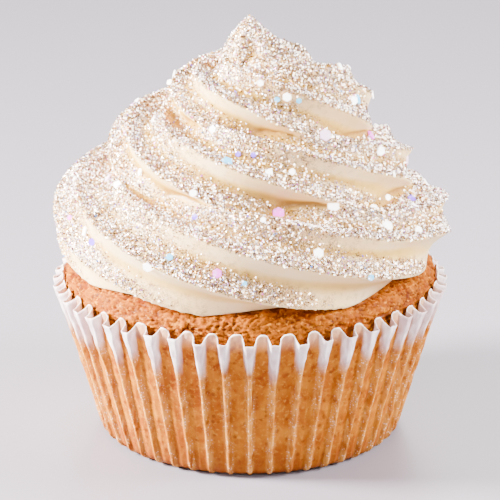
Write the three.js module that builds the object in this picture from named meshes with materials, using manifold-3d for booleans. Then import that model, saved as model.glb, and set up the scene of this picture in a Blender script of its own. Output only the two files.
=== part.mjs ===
// Cupcake: a fluted paper case, a domed sponge and a piped buttercream swirl with flakes of glitter.
// Millimetres, +Z up, the front towards -Y. The origin is the centre of the flat base.
import * as THREE from "three";
import { mergeVertices } from "three/addons/utils/BufferGeometryUtils.js";
import Module from "manifold-3d";

// Paper case: radii are of the outside, at the crest of a fold and on the panel between two folds.
const PLEATS = 48;
const RIM_HEIGHT = 29.2;
const RIM_FOLD_RADIUS = 35.2;
const RIM_PANEL_RADIUS = 33.6;
const FOOT_FOLD_RADIUS = 26.6;
const FOOT_PANEL_RADIUS = 26;
const FOOT_CHAMFER = 0.8;
const PAPER = 0.5;
const FOLD_HALF_ANGLE = 1.65;
const FOLD_SIDE_ANGLE = 0.4;
const POCKET_HALF_ANGLE = 0.85;

// Sponge: it fills the case and domes above the rim.
const GAP = 0.3;
const SPONGE_SIDES = 96;
const DOME = [
  [32.65, 28.6],
  [32.6, 29.8],
  [31.6, 31.1],
  [29.4, 32.2],
  [25, 33.4],
  [15, 35.2],
  [0, 36.2],
];
const CRUMB_RELIEF = 0.35;

// Buttercream: a rope of star section piped clockwise, seen from above, from the cake to a point.
// Turns count from the right-hand side. The nozzle keeps its heading, so its teeth roll down the rope.
// Top is the height of the section's upper half, which the next coil presses down: 1 where it is round.
const TEETH = 8;
const TOOTH_HEADING = 22.5;
const POINTS_PER_TOOTH = 4;
const TOOTH_SHARPNESS = 0.9;
const STEPS_PER_TURN = 44;
const STEPS_PER_LENGTH = 40;
const ROPE = [
  { turn: -0.24, radius: 22.5, height: 37.5, size: 3.0, groove: 0.25, top: 0.6 },
  { turn: -0.16, radius: 23.4, height: 37.8, size: 8.6, groove: 0.28, top: 0.55 },
  { turn: 0.0, radius: 25.4, height: 40.6, size: 10.6, groove: 0.2, top: 0.5 },
  { turn: 0.25, radius: 25.0, height: 39.8, size: 10.8, groove: 0.24, top: 1 },
  { turn: 0.5, radius: 24.6, height: 39.6, size: 10.6, groove: 0.18, top: 1 },
  { turn: 0.75, radius: 21.4, height: 41.4, size: 9.8, groove: 0.26, top: 1 },
  { turn: 1.0, radius: 19.2, height: 49.0, size: 10.2, groove: 0.2, top: 0.66 },
  { turn: 1.25, radius: 17.8, height: 51.8, size: 10.0, groove: 0.28, top: 1 },
  { turn: 1.5, radius: 15.7, height: 51.5, size: 9.6, groove: 0.28, top: 1 },
  { turn: 1.75, radius: 12.6, height: 52.6, size: 8.6, groove: 0.28, top: 1 },
  { turn: 2.0, radius: 13.3, height: 58.4, size: 8.8, groove: 0.18, top: 1 },
  { turn: 2.25, radius: 10.2, height: 61.6, size: 9.2, groove: 0.28, top: 1 },
  { turn: 2.5, radius: 6.7, height: 60.0, size: 8.5, groove: 0.28, top: 1 },
  { turn: 2.75, radius: 4.5, height: 60.2, size: 8.5, groove: 0.28, top: 1 },
  { turn: 3.0, radius: 2.8, height: 64.2, size: 8.8, groove: 0.16, top: 1 },
  { turn: 3.12, radius: 1.5, height: 67.6, size: 7.8, groove: 0.2, top: 1 },
  { turn: 3.22, radius: 0.6, height: 71.4, size: 4.8, groove: 0.24, top: 1 },
  { turn: 3.3, radius: 0.0, height: 76.0, size: 0.15, groove: 0.2, top: 1 },
];
// Solid cream inside the coils.
const CORE = [
  [0, 30],
  [24, 30],
  [24, 42],
  [16, 50],
  [11, 57],
  [6, 63],
  [0, 67],
];
const CORE_SIDES = 32;

// Large flakes: six-sided, stuck to the cream where a line of sight from a given side meets it, and
// turned halfway from the slope there towards that side.
const FLAKE_THICKNESS = 0.5;
const FLAKE_PROUD = 0.28;
const SIGHT_ELEVATION = 19.5;
const SIGHT_DISTANCE = 200;
// Each is across, up and radius, seen from the front.
const FRONT_FLAKES = [
  [4.8, 36.9, 1.1],
  [14.1, 38.2, 1.1],
  [23.4, 34.8, 1.0],
  [-3.9, 45.5, 1.0],
  [12.8, 50.3, 1.1],
  [-5.5, 26.8, 0.85],
  [11.5, 30.2, 0.95],
  [3.2, 43.7, 0.7],
  [7.1, 43.9, 0.6],
  [-22.7, 41.9, 0.8],
  [-17.2, 27.9, 0.9],
  [-13.5, 29.5, 0.65],
  [28.1, 39.6, 0.75],
  [6.3, 56.7, 0.8],
  [1.8, 59.1, 0.6],
  [-9.6, 40.3, 0.7],
  [-6.3, 51.2, 0.7],
  [21.2, 37.9, 0.7],
  [20.4, 26.1, 0.6],
  [-27.0, 32.1, 0.7],
  [22.4, 47.8, 0.9],
  [-14.0, 60.0, 0.6],
  [17.8, 56.5, 0.85],
  [4.6, 56.3, 0.5],
  [8.3, 56.1, 0.5],
  [23.8, 39.8, 0.6],
  [28.9, 34.1, 0.7],
  [2.2, 35.8, 0.5],
  [-2.0, 46.9, 0.5],
  [0.6, 46.8, 0.5],
  [-31.2, 36.3, 0.5],
  [-0.9, 25.1, 0.45],
  [-9.3, 36.3, 0.55],
];
// The other three sides have a spread by the golden ratio.
const OTHER_SIDES = [90, 180, 270];
const FLAKES_PER_SIDE = 12;
const GOLDEN = 0.618034;
const SPREAD_HALF_WIDTH = 24;
const SPREAD_FOOT = 29;
const SPREAD_HEIGHT = 30;
const SPREAD_TAPER = 0.72;
const SPREAD_SIZES = [0.95, 0.55, 0.75];

const WELD = 1e-4;

const radians = THREE.MathUtils.degToRad;

const wasm = await Module();
wasm.setup();

function solidFrom(geometry) {
  const bare = geometry.clone();
  bare.deleteAttribute("normal");
  bare.deleteAttribute("uv");
  const merged = mergeVertices(bare, WELD);
  return new wasm.Manifold(
    new wasm.Mesh({
      numProp: 3,
      vertProperties: new Float32Array(merged.attributes.position.array),
      triVerts: new Uint32Array(merged.index.array),
    }),
  );
}

function geometryFrom(solid) {
  const mesh = solid.getMesh();
  const geometry = new THREE.BufferGeometry();
  geometry.setAttribute("position", new THREE.BufferAttribute(mesh.vertProperties, 3));
  geometry.setIndex(new THREE.BufferAttribute(mesh.triVerts, 1));
  return geometry;
}

// The one outer skin of a join, without sealed hollows between the coils and loose scraps.
function outerSkin(solid) {
  return solid.decompose().reduce((kept, body) => (body.volume() > kept.volume() ? body : kept));
}

// A closed skin over rings of equal count, each end closed by a fan round the ring's middle.
function skin(rings) {
  const count = rings[0].length;
  const positions = rings.flat().flatMap((point) => [point.x, point.y, point.z]);
  const index = [];
  for (let ring = 0; ring + 1 < rings.length; ring++) {
    for (let i = 0; i < count; i++) {
      const next = (i + 1) % count;
      const a = ring * count + i;
      const b = ring * count + next;
      index.push(a, b, a + count, b, b + count, a + count);
    }
  }
  const close = (ring, start, turned) => {
    const middle = new THREE.Vector3();
    ring.forEach((point) => middle.addScaledVector(point, 1 / count));
    const centre = positions.length / 3;
    positions.push(middle.x, middle.y, middle.z);
    for (let i = 0; i < count; i++) {
      const a = start + i;
      const b = start + ((i + 1) % count);
      index.push(...(turned ? [centre, a, b] : [centre, b, a]));
    }
  };
  close(rings[0], 0, false);
  close(rings.at(-1), (rings.length - 1) * count, true);
  const geometry = new THREE.BufferGeometry();
  geometry.setAttribute("position", new THREE.Float32BufferAttribute(positions, 3));
  geometry.setIndex(index);
  return geometry;
}

function latheUp(profile, sides) {
  const points = profile.map(([r, z]) => new THREE.Vector2(r, z));
  return new THREE.LatheGeometry(points, sides).rotateX(Math.PI / 2);
}

function radiusAt(foot, rim, height) {
  return THREE.MathUtils.lerp(foot, rim, height / RIM_HEIGHT);
}

// One ring of the pleated wall: four corners to a pleat, two on the fold and two on the panels.
function pleatRing(foldRadius, panelRadius, foldHalf, height) {
  const corners = [
    [-foldHalf - FOLD_SIDE_ANGLE, panelRadius],
    [-foldHalf, foldRadius],
    [foldHalf, foldRadius],
    [foldHalf + FOLD_SIDE_ANGLE, panelRadius],
  ];
  const ring = [];
  for (let pleat = 0; pleat < PLEATS; pleat++) {
    for (const [offset, radius] of corners) {
      const angle = radians((360 * pleat) / PLEATS + offset);
      ring.push(new THREE.Vector3(radius * Math.cos(angle), radius * Math.sin(angle), height));
    }
  }
  return ring;
}

function outerPleats(height, inset = 0) {
  return pleatRing(
    radiusAt(FOOT_FOLD_RADIUS, RIM_FOLD_RADIUS, height) - inset,
    radiusAt(FOOT_PANEL_RADIUS, RIM_PANEL_RADIUS, height) - inset,
    FOLD_HALF_ANGLE,
    height,
  );
}

function innerPleats(height, inset = 0) {
  return pleatRing(
    radiusAt(FOOT_FOLD_RADIUS, RIM_FOLD_RADIUS, height) - PAPER - inset,
    radiusAt(FOOT_PANEL_RADIUS, RIM_PANEL_RADIUS, height) - PAPER - inset,
    POCKET_HALF_ANGLE,
    height,
  );
}

function paperCase() {
  return skin([
    outerPleats(0, FOOT_CHAMFER),
    outerPleats(FOOT_CHAMFER),
    outerPleats(RIM_HEIGHT),
    innerPleats(RIM_HEIGHT),
    innerPleats(PAPER + FOOT_CHAMFER),
    innerPleats(PAPER, FOOT_CHAMFER),
  ]);
}

// The sponge's half outline from the bottom centre, grown by a margin above the rim.
function spongeProfile(margin) {
  const foot = PAPER + GAP;
  const wall = (height) => radiusAt(FOOT_PANEL_RADIUS, RIM_PANEL_RADIUS, height) - PAPER - GAP;
  const shoulder = DOME[0][1] - 1;
  return [
    [0, foot],
    [wall(foot) - FOOT_CHAMFER, foot],
    [wall(foot + FOOT_CHAMFER), foot + FOOT_CHAMFER],
    [wall(shoulder) + margin, shoulder],
    ...DOME.map(([r, z]) => [r > 0 ? r + margin : 0, z + margin]),
  ];
}

// Soft unevenness of the baked crust, always inwards, and nothing where the case holds it.
function crumb(point) {
  const angle = Math.atan2(point.y, point.x);
  const wave = Math.sin(7 * angle + 1) + Math.sin(17 * angle + point.z) + Math.sin(29 * angle - 2 * point.z);
  const above = THREE.MathUtils.smoothstep(point.z, RIM_HEIGHT - 1, RIM_HEIGHT + 2);
  return -CRUMB_RELIEF * above * (0.5 + wave / 6);
}

function sponge() {
  const geometry = latheUp(spongeProfile(0), SPONGE_SIDES);
  const position = geometry.attributes.position;
  const point = new THREE.Vector3();
  for (let i = 0; i < position.count; i++) {
    point.fromBufferAttribute(position, i);
    const flat = Math.hypot(point.x, point.y);
    const dent = flat > 1 ? crumb(point) : 0;
    const scale = flat > 1 ? 1 + dent / flat : 1;
    position.setXYZ(i, point.x * scale, point.y * scale, point.z + dent);
  }
  return geometry;
}

// Smooth value of one field of the rope at a turn: a cubic through the stations that never overshoots.
function along(field, turn) {
  const last = ROPE.length - 2;
  let i = 0;
  while (i < last && ROPE[i + 1].turn < turn) i++;
  const slope = (k) => (ROPE[k + 1][field] - ROPE[k][field]) / (ROPE[k + 1].turn - ROPE[k].turn);
  const tangent = (k) => {
    if (k === 0) return slope(0);
    if (k === ROPE.length - 1) return slope(k - 1);
    const before = slope(k - 1);
    const after = slope(k);
    if (before * after <= 0) return 0;
    const left = ROPE[k].turn - ROPE[k - 1].turn;
    const right = ROPE[k + 1].turn - ROPE[k].turn;
    const weightBefore = 2 * right + left;
    const weightAfter = right + 2 * left;
    return (weightBefore + weightAfter) / (weightBefore / before + weightAfter / after);
  };
  const step = ROPE[i + 1].turn - ROPE[i].turn;
  const t = (turn - ROPE[i].turn) / step;
  const start = ROPE[i][field];
  const end = ROPE[i + 1][field];
  return (
    start * (2 * t ** 3 - 3 * t ** 2 + 1) +
    end * (3 * t ** 2 - 2 * t ** 3) +
    tangent(i) * step * (t ** 3 - 2 * t ** 2 + t) +
    tangent(i + 1) * step * (t ** 3 - t ** 2)
  );
}

// Heading of the rope's middle from the axis, in radians from the front towards the right.
function headingAt(turn) {
  return Math.PI / 2 - 2 * Math.PI * turn;
}

function outwardAt(turn) {
  return new THREE.Vector3(Math.sin(headingAt(turn)), -Math.cos(headingAt(turn)), 0);
}

function middleAt(turn) {
  const point = outwardAt(turn).multiplyScalar(along("radius", turn));
  point.z = along("height", turn);
  return point;
}

// One star-shaped ring of the rope. Each tooth stays at its own heading from ring to ring.
function ropeRing(turn) {
  const nudge = 1e-3;
  const ahead = middleAt(turn + nudge).sub(middleAt(turn - nudge)).normalize();
  const out = outwardAt(turn);
  out.addScaledVector(ahead, -out.dot(ahead)).normalize();
  const up = new THREE.Vector3().crossVectors(ahead, out);
  const size = along("size", turn);
  const groove = along("groove", turn);
  const top = along("top", turn);
  const middle = middleAt(turn);
  const ring = [];
  for (let i = 0; i < TEETH * POINTS_PER_TOOTH; i++) {
    const fraction = i / (TEETH * POINTS_PER_TOOTH);
    const cut = Math.abs(Math.sin(Math.PI * TEETH * fraction)) ** TOOTH_SHARPNESS;
    const reach = size * (1 - groove * cut);
    const roll = radians(TOOTH_HEADING) + 2 * Math.PI * fraction - headingAt(turn);
    const point = middle.clone();
    point.addScaledVector(out, reach * Math.cos(roll));
    const rise = Math.sin(roll);
    point.addScaledVector(up, reach * (rise > 0 ? rise * top : rise));
    ring.push(point);
  }
  return ring;
}

// The rope is made in lengths that don't cross themselves, then joined.
function ropeLengths() {
  const first = ROPE[0].turn;
  const last = ROPE.at(-1).turn;
  const steps = Math.ceil((last - first) * STEPS_PER_TURN);
  const turnAt = (step) => THREE.MathUtils.lerp(first, last, step / steps);
  const lengths = [];
  for (let start = 0; start < steps; start += STEPS_PER_LENGTH) {
    const end = Math.min(start + STEPS_PER_LENGTH, steps);
    const rings = [];
    for (let step = start; step <= end; step++) rings.push(ropeRing(turnAt(step)));
    lengths.push(solidFrom(skin(rings)));
  }
  return lengths;
}

// A line of sight that meets the object at a place given across and up, seen from a side.
function sightLine(side, across, up) {
  const tilt = radians(SIGHT_ELEVATION);
  const origin = new THREE.Vector3(
    across,
    -SIGHT_DISTANCE * Math.cos(tilt) + up * Math.sin(tilt),
    SIGHT_DISTANCE * Math.sin(tilt) + up * Math.cos(tilt),
  );
  const direction = new THREE.Vector3(0, Math.cos(tilt), -Math.sin(tilt));
  const turn = new THREE.Matrix4().makeRotationZ(radians(side));
  return new THREE.Raycaster(origin.applyMatrix4(turn), direction.applyMatrix4(turn));
}

function flakePlaces() {
  const places = FRONT_FLAKES.map(([across, up, radius]) => [0, across, up, radius]);
  for (const side of OTHER_SIDES) {
    for (let i = 0; i < FLAKES_PER_SIDE; i++) {
      const rise = (i + 0.5) / FLAKES_PER_SIDE;
      const sway = 2 * ((GOLDEN * (i + side)) % 1) - 1;
      const across = SPREAD_HALF_WIDTH * sway * (1 - SPREAD_TAPER * rise);
      places.push([side, across, SPREAD_FOOT + SPREAD_HEIGHT * rise, SPREAD_SIZES[i % 3]]);
    }
  }
  return places;
}

function flakesOn(cream) {
  const target = new THREE.Mesh(geometryFrom(cream));
  const flakes = [];
  for (const [side, across, up, radius] of flakePlaces()) {
    const sight = sightLine(side, across, up);
    const hit = sight.intersectObject(target)[0];
    if (!hit) continue;
    const facing = hit.face.normal.clone().sub(sight.ray.direction).normalize();
    const flake = new THREE.CylinderGeometry(radius, radius, FLAKE_THICKNESS, 6);
    const turned = new THREE.Quaternion().setFromUnitVectors(new THREE.Vector3(0, 1, 0), facing);
    flake.applyQuaternion(turned);
    const lift = FLAKE_PROUD - FLAKE_THICKNESS / 2;
    const centre = hit.point.clone().addScaledVector(facing, lift);
    flake.translate(centre.x, centre.y, centre.z);
    flakes.push(solidFrom(flake));
  }
  return flakes;
}

function buttercream() {
  const core = solidFrom(latheUp(CORE, CORE_SIDES));
  const imprint = solidFrom(latheUp(spongeProfile(GAP), SPONGE_SIDES));
  let cream = core;
  for (const length of ropeLengths()) cream = cream.add(length);
  cream = outerSkin(cream.subtract(imprint));
  for (const flake of flakesOn(cream)) cream = cream.add(flake);
  // Welding can pinch off a scrap, so the join is welded once before its outer skin is taken.
  const welded = solidFrom(geometryFrom(outerSkin(cream)));
  return geometryFrom(outerSkin(welded));
}

function piece(name, geometry, color, roughness) {
  const mesh = new THREE.Mesh(geometry, new THREE.MeshStandardMaterial({ color, roughness, metalness: 0 }));
  mesh.name = name;
  return mesh;
}

const group = new THREE.Group();
group.add(piece("paper_case", paperCase(), 0xd8b48c, 0.6));
group.add(piece("sponge", sponge(), 0xd08a3c, 0.9));
group.add(piece("buttercream", buttercream(), 0xf5e8d2, 0.45));

export default group;
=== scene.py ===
# %% [markdown]
# # A cupcake with a piped buttercream swirl
#
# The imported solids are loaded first. They say where everything is, in metres, and this script dresses them.
# Each step below has a short text and then a short cell of code, to run from the top.

import math

import bmesh
import bpy
import numpy as np
from mathutils import Matrix, Vector, noise
from mathutils.bvhtree import BVHTree


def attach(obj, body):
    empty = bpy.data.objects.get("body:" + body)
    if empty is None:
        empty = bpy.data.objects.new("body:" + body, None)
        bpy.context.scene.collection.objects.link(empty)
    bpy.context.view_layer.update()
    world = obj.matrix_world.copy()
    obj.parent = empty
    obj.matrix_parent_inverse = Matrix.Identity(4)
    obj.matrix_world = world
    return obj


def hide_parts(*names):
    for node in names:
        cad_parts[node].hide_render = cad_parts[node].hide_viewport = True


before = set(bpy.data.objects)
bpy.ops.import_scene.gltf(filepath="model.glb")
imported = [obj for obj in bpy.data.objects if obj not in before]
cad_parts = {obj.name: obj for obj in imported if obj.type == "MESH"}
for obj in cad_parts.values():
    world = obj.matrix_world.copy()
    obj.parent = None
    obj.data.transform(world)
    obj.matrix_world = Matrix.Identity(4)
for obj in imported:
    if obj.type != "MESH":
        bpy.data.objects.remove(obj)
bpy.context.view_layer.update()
MM = 0.001
print("solids:", sorted(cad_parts))

# %% [markdown]
# ## The camera
#
# The photograph looks slightly down on the cupcake through a long lens, so the case shows its front and the
# rim shows as a flat ellipse. A camera on a circle round the middle, at a fixed elevation, gives that with
# three numbers: the elevation, the distance and the width of the view at the middle. The helper that puts a
# new object into the scene serves every later step too.

# %% Place the camera
VIEW_ELEVATION = math.radians(19.5)
VIEW_DISTANCE = 0.6
VIEW_WIDTH = 88.8 * MM
VIEW_AIM = Vector((0, 0, 32.6 * MM))



def new_object(name, data):
    """A new object in the scene."""
    thing = bpy.data.objects.new(name, data)
    bpy.context.scene.collection.objects.link(thing)
    return thing


camera_data = bpy.data.cameras.new("photo_camera")
camera = new_object("photo_camera", camera_data)
towards_camera = Vector((0, -math.cos(VIEW_ELEVATION), math.sin(VIEW_ELEVATION)))
camera.location = VIEW_AIM + towards_camera * VIEW_DISTANCE
camera.rotation_euler = (-towards_camera).to_track_quat("-Z", "Y").to_euler()
camera_data.sensor_width = 36
camera_data.lens = camera_data.sensor_width * VIEW_DISTANCE / VIEW_WIDTH
camera_data.dof.use_dof = False
bpy.context.scene.camera = camera
print("lens", round(camera_data.lens), "mm")

# %% [markdown]
# ## Small tools for trees
#
# Shader trees and geometry trees are both nodes joined by links. One helper adds a node with its settings
# and its inputs, whether those are plain values or other nodes' outputs, which keeps each tree below
# readable.

# %% Helpers that add nodes and join them up


def fill(tree, socket, value):
    """Gives a socket a plain value, or joins another node's output to it."""
    if isinstance(value, bpy.types.NodeSocket):
        tree.links.new(value, socket)
    else:
        socket.default_value = value


def add(tree, kind, inputs=None, **settings):
    """A new node, with its settings and with its inputs by name or number."""
    node = tree.nodes.new(kind)
    for name, value in settings.items():
        setattr(node, name, value)
    for key, value in (inputs or {}).items():
        fill(tree, node.inputs[key], value)
    return node


def maths(tree, operation, *values):
    """The output of a Math node."""
    return add(tree, "ShaderNodeMath", dict(enumerate(values)), operation=operation).outputs[0]


def times(tree, first, second):
    """Two values multiplied."""
    return maths(tree, "MULTIPLY", first, second)


def plus(tree, first, second):
    """Two values added."""
    return maths(tree, "ADD", first, second)


def minus(tree, first, second):
    """The second value taken from the first."""
    return maths(tree, "SUBTRACT", first, second)


def step_between(tree, value, low, high, smooth=True):
    """0 at low and 1 at high, also where low is the larger."""
    kind = "SMOOTHSTEP" if smooth else "LINEAR"
    inputs = {"Value": value, "From Min": low, "From Max": high}
    return add(tree, "ShaderNodeMapRange", inputs, interpolation_type=kind).outputs[0]


def between(tree, mask, first, second):
    """A number that goes from first to second as the mask goes from 0 to 1."""
    return add(tree, "ShaderNodeMix", {0: mask, 2: first, 3: second}, data_type="FLOAT").outputs[0]


def tinted(tree, mask, first, second):
    """Two colours mixed by a mask."""
    return add(tree, "ShaderNodeMix", {0: mask, 6: first, 7: second}, data_type="RGBA").outputs[2]


print("helpers for trees ready")

# %% [markdown]
# ## Groups, materials and colours
#
# A node group is a tree with named inputs and outputs, so that one effect can serve several materials.
# Colours are adjusted until the render looks like the photograph. They are written on a screen's scale of 0
# to 255, while shaders count light, so they are converted.

# %% Helpers for groups and materials


def new_group(name, kind, inputs, outputs):
    """An empty group of that kind with its named inputs and outputs, and its two end nodes."""
    tree = bpy.data.node_groups.new(name, kind)
    for label, socket_kind, value in inputs:
        socket = tree.interface.new_socket(label, in_out="INPUT", socket_type=socket_kind)
        if value is not None:
            socket.default_value = value
    for label, socket_kind in outputs:
        tree.interface.new_socket(label, in_out="OUTPUT", socket_type=socket_kind)
    return tree, tree.nodes.new("NodeGroupInput").outputs, tree.nodes.new("NodeGroupOutput").inputs


def screen_colour(red, green, blue):
    """A colour on a screen's scale of 0 to 255, as the light that a shader counts."""
    light = [((v / 255 + 0.055) / 1.055) ** 2.4 for v in (red, green, blue)]
    return (*light, 1.0)


def new_material(name, **constants):
    """A material with its constant values set straight on the shader's sockets."""
    material = bpy.data.materials.new(name)
    material.use_nodes = True
    tree = material.node_tree
    shader = tree.nodes["Principled BSDF"].inputs
    for label, value in constants.items():
        shader[label.replace("_", " ").title().replace("Ior", "IOR")].default_value = value
    place = tree.nodes.new("ShaderNodeTexCoord").outputs["Object"]
    return material, tree, shader, place


def attribute(tree, name):
    """A number stored on the mesh, for a shader to read."""
    return add(tree, "ShaderNodeAttribute", attribute_name=name, attribute_type="GEOMETRY").outputs["Fac"]


def end_tree(tree, geometry, finish, result):
    """Ends a geometry tree: instances made real, the finish set and the result put out."""
    real = add(tree, "GeometryNodeRealizeInstances", {"Geometry": geometry}).outputs[0]
    finished = add(tree, "GeometryNodeSetMaterial", {"Geometry": real, "Material": finish}).outputs[0]
    fill(tree, result, finished)


print("helpers for groups and materials ready")

# %% [markdown]
# ## Effects that several finishes share
#
# Baked crust, paper over crumb and sprinkled cream are all uneven in the same two ways: soft patches, and
# small specks. A noise with its contrast raised makes the patches, and cells with a random value each make
# the specks. A third group gives a fine grain as a height, for the bump of paper, crumb and cream.

# %% Build the shared shader groups
VECTOR, NUMBER = "NodeSocketVector", "NodeSocketFloat"

patches, inside, out = new_group(
    "Soft Patches",
    "ShaderNodeTree",
    [("Vector", VECTOR, None), ("Scale", NUMBER, 200.0), ("Low", NUMBER, 0.4), ("High", NUMBER, 0.6)],
    [("Mask", NUMBER)],
)
cloudy = {"Vector": inside["Vector"], "Scale": inside["Scale"], "Detail": 5.0}
cloud = add(patches, "ShaderNodeTexNoise", cloudy)
fill(patches, out["Mask"], step_between(patches, cloud.outputs[0], inside["Low"], inside["High"]))

specks, inside, out = new_group(
    "Small Specks",
    "ShaderNodeTree",
    [("Vector", VECTOR, None), ("Scale", NUMBER, 1000.0), ("Share", NUMBER, 0.2)],
    [("Mask", NUMBER), ("Value", NUMBER)],
)
cells = add(specks, "ShaderNodeTexVoronoi", {"Vector": inside["Vector"], "Scale": inside["Scale"]})
draw = add(specks, "ShaderNodeSeparateColor", {0: cells.outputs["Color"]}).outputs
chosen = maths(specks, "LESS_THAN", draw[0], inside["Share"])
fill(specks, out["Mask"], times(specks, chosen, step_between(specks, cells.outputs[0], 0.55, 0.25)))
fill(specks, out["Value"], draw[1])

grain, inside, out = new_group(
    "Fine Grain",
    "ShaderNodeTree",
    [("Vector", VECTOR, None), ("Scale", NUMBER, 1500.0)],
    [("Height", NUMBER)],
)
fine = add(grain, "ShaderNodeTexNoise", {"Vector": inside["Vector"], "Scale": inside["Scale"], "Detail": 3.0})
fill(grain, out["Height"], fine.outputs[0])
print("groups:", [group.name for group in (patches, specks, grain)])

# %% Helpers that use the groups on the material at hand


def patch(scale, low, high, stretch=(1.0, 1.0, 1.0)):
    """Soft patches of that size on the material at hand, drawn out where the stretch is under 1."""
    drawn = add(tree, "ShaderNodeMapping", {"Vector": place, "Scale": stretch}).outputs[0]
    inputs = {"Vector": drawn, "Scale": scale, "Low": low, "High": high}
    return add(tree, "ShaderNodeGroup", inputs, node_tree=patches).outputs[0]


def speck(scale, share):
    """Small specks of that size on the material at hand."""
    inputs = {"Vector": place, "Scale": scale, "Share": share}
    return add(tree, "ShaderNodeGroup", inputs, node_tree=specks).outputs


def blend(mask, first, second):
    """Two screen colours mixed by a mask on the material at hand."""
    return tinted(tree, mask, screen_colour(*first), screen_colour(*second))


def layered(colour, *layers):
    """A colour with screen colours laid over it, each by its own mask and share."""
    for mask, most, overlay in layers:
        colour = tinted(tree, times(tree, mask, most), colour, screen_colour(*overlay))
    return colour


def bumpy(height_there, strength, depth_there):
    """Sets a fine relief on the material at hand."""
    inputs = {"Strength": strength, "Distance": depth_there, "Height": height_there}
    fill(tree, shader["Normal"], add(tree, "ShaderNodeBump", inputs).outputs[0])


def fine_grain(scale):
    """A fine grain of that size on the material at hand, as a height."""
    return add(tree, "ShaderNodeGroup", {"Vector": place, "Scale": scale}, node_tree=grain).outputs[0]


print("helpers for finishes ready")

# %% [markdown]
# ## Geometry trees and plain pieces
#
# A tree of Geometry Nodes runs as a modifier. Its inputs are set by each socket's identifier before the
# object is first evaluated, and the evaluated result is then kept as a plain mesh, because a library part
# carries no modifiers. Every piece ends at the origin with its place in its mesh, and rides on the one
# body.

# %% Helpers that grow a mesh and put it in place
BODY = "root"


def grow(name, mesh, tree, values):
    """Runs a geometry tree over a mesh and returns the result as a plain mesh."""
    holder = new_object(name + "_grown", mesh)
    modifier = holder.modifiers.new("grow", "NODES")
    modifier.node_group = tree
    for item in tree.interface.items_tree:
        if item.item_type == "SOCKET" and item.in_out == "INPUT" and item.name in values:
            modifier[item.identifier] = values[item.name]
    return settled(holder, name)


def settled(holder, name):
    """The evaluated mesh of an object, which is then removed."""
    graph = bpy.context.evaluated_depsgraph_get()
    final = holder.evaluated_get(graph)
    mesh = bpy.data.meshes.new_from_object(final, preserve_all_data_layers=True, depsgraph=graph)
    bpy.data.objects.remove(holder)
    mesh.name = name
    return mesh


def set_piece(name, mesh, material, smooth=True, instead_of=None):
    """A finished piece from a mesh: its finish, its body and the solid it stands for."""
    piece = new_object(name, mesh)
    mesh.materials.clear()
    mesh.materials.append(material)
    mesh.polygons.foreach_set("use_smooth", [smooth] * len(mesh.polygons))
    mesh.polygons.foreach_set("material_index", [0] * len(mesh.polygons))
    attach(piece, BODY)
    if instead_of:
        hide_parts(instead_of)
    triangles = sum(len(polygon.vertices) - 2 for polygon in mesh.polygons)
    print(name, triangles, "triangles")


def points_of(mesh):
    """The mesh's vertices as an array of three columns."""
    flat = np.empty(len(mesh.vertices) * 3)
    mesh.vertices.foreach_get("co", flat)
    return flat.reshape(-1, 3)


def store(mesh, name, values):
    """A number for each vertex, for shaders and geometry trees to read."""
    layer = mesh.attributes.new(name, "FLOAT", "POINT")
    layer.data.foreach_set("value", np.asarray(values, dtype=np.float32))


print("helpers for pieces ready")

# %% [markdown]
# ## The paper case: its shape
#
# A muffin case is a disc of thin paper pressed into pleats. Between the pleats the paper clings to the
# cake, and each fold stands out as a narrow rib that opens into a flat pocket near the rim, where the cake
# no longer fills it. One pleat repeats 48 times by a rule, so a geometry tree bends a flat grid: across the
# grid is the way round, and up the grid is first across the base and then up the wall.

# %% Build the tree of the fluted case
PLEATS = 48
COLUMNS_PER_PLEAT = 18
WALL_ROWS = 57
BASE_SHARE = 0.14

LENGTH, COUNT = "NodeSocketFloat", "NodeSocketInt"
fluted, inside, out = new_group(
    "Fluted Case",
    "GeometryNodeTree",
    [
        ("Geometry", "NodeSocketGeometry", None),
        ("Pleats", COUNT, PLEATS),
        ("Columns", COUNT, PLEATS * COLUMNS_PER_PLEAT + 1),
        ("Rows", COUNT, WALL_ROWS),
        ("Rim Height", LENGTH, 29.2 * MM),
        ("Rim Fold Radius", LENGTH, 35.05 * MM),
        ("Rim Panel Radius", LENGTH, 33.75 * MM),
        ("Foot Fold Radius", LENGTH, 26.6 * MM),
        ("Foot Panel Radius", LENGTH, 26.0 * MM),
        ("Foot Round", LENGTH, 1.6 * MM),
        ("Free From", LENGTH, 20.0 * MM),
        ("Seed", COUNT, 4),
        ("Finish", "NodeSocketMaterial", None),
    ],
    [("Geometry", "NodeSocketGeometry")],
)


def for_each_pleat(index, low, high, turn):
    """A random number for each pleat, the same all over it."""
    inputs = {2: low, 3: high, "ID": index, "Seed": plus(fluted, inside["Seed"], turn)}
    return add(fluted, "FunctionNodeRandomValue", inputs, data_type="FLOAT").outputs[1]


grid = {"Size X": 1.0, "Size Y": 1.0, "Vertices X": inside["Columns"], "Vertices Y": inside["Rows"]}
sheet = add(fluted, "GeometryNodeMeshGrid", grid)
position = add(fluted, "GeometryNodeInputPosition").outputs[0]
flat = add(fluted, "ShaderNodeSeparateXYZ", {0: position}).outputs
around = plus(fluted, flat[0], 0.5)
upwards = plus(fluted, flat[1], 0.5)
across_base = step_between(fluted, upwards, 0.0, BASE_SHARE, smooth=False)
up_wall = step_between(fluted, upwards, BASE_SHARE, 1.0, smooth=False)

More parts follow.
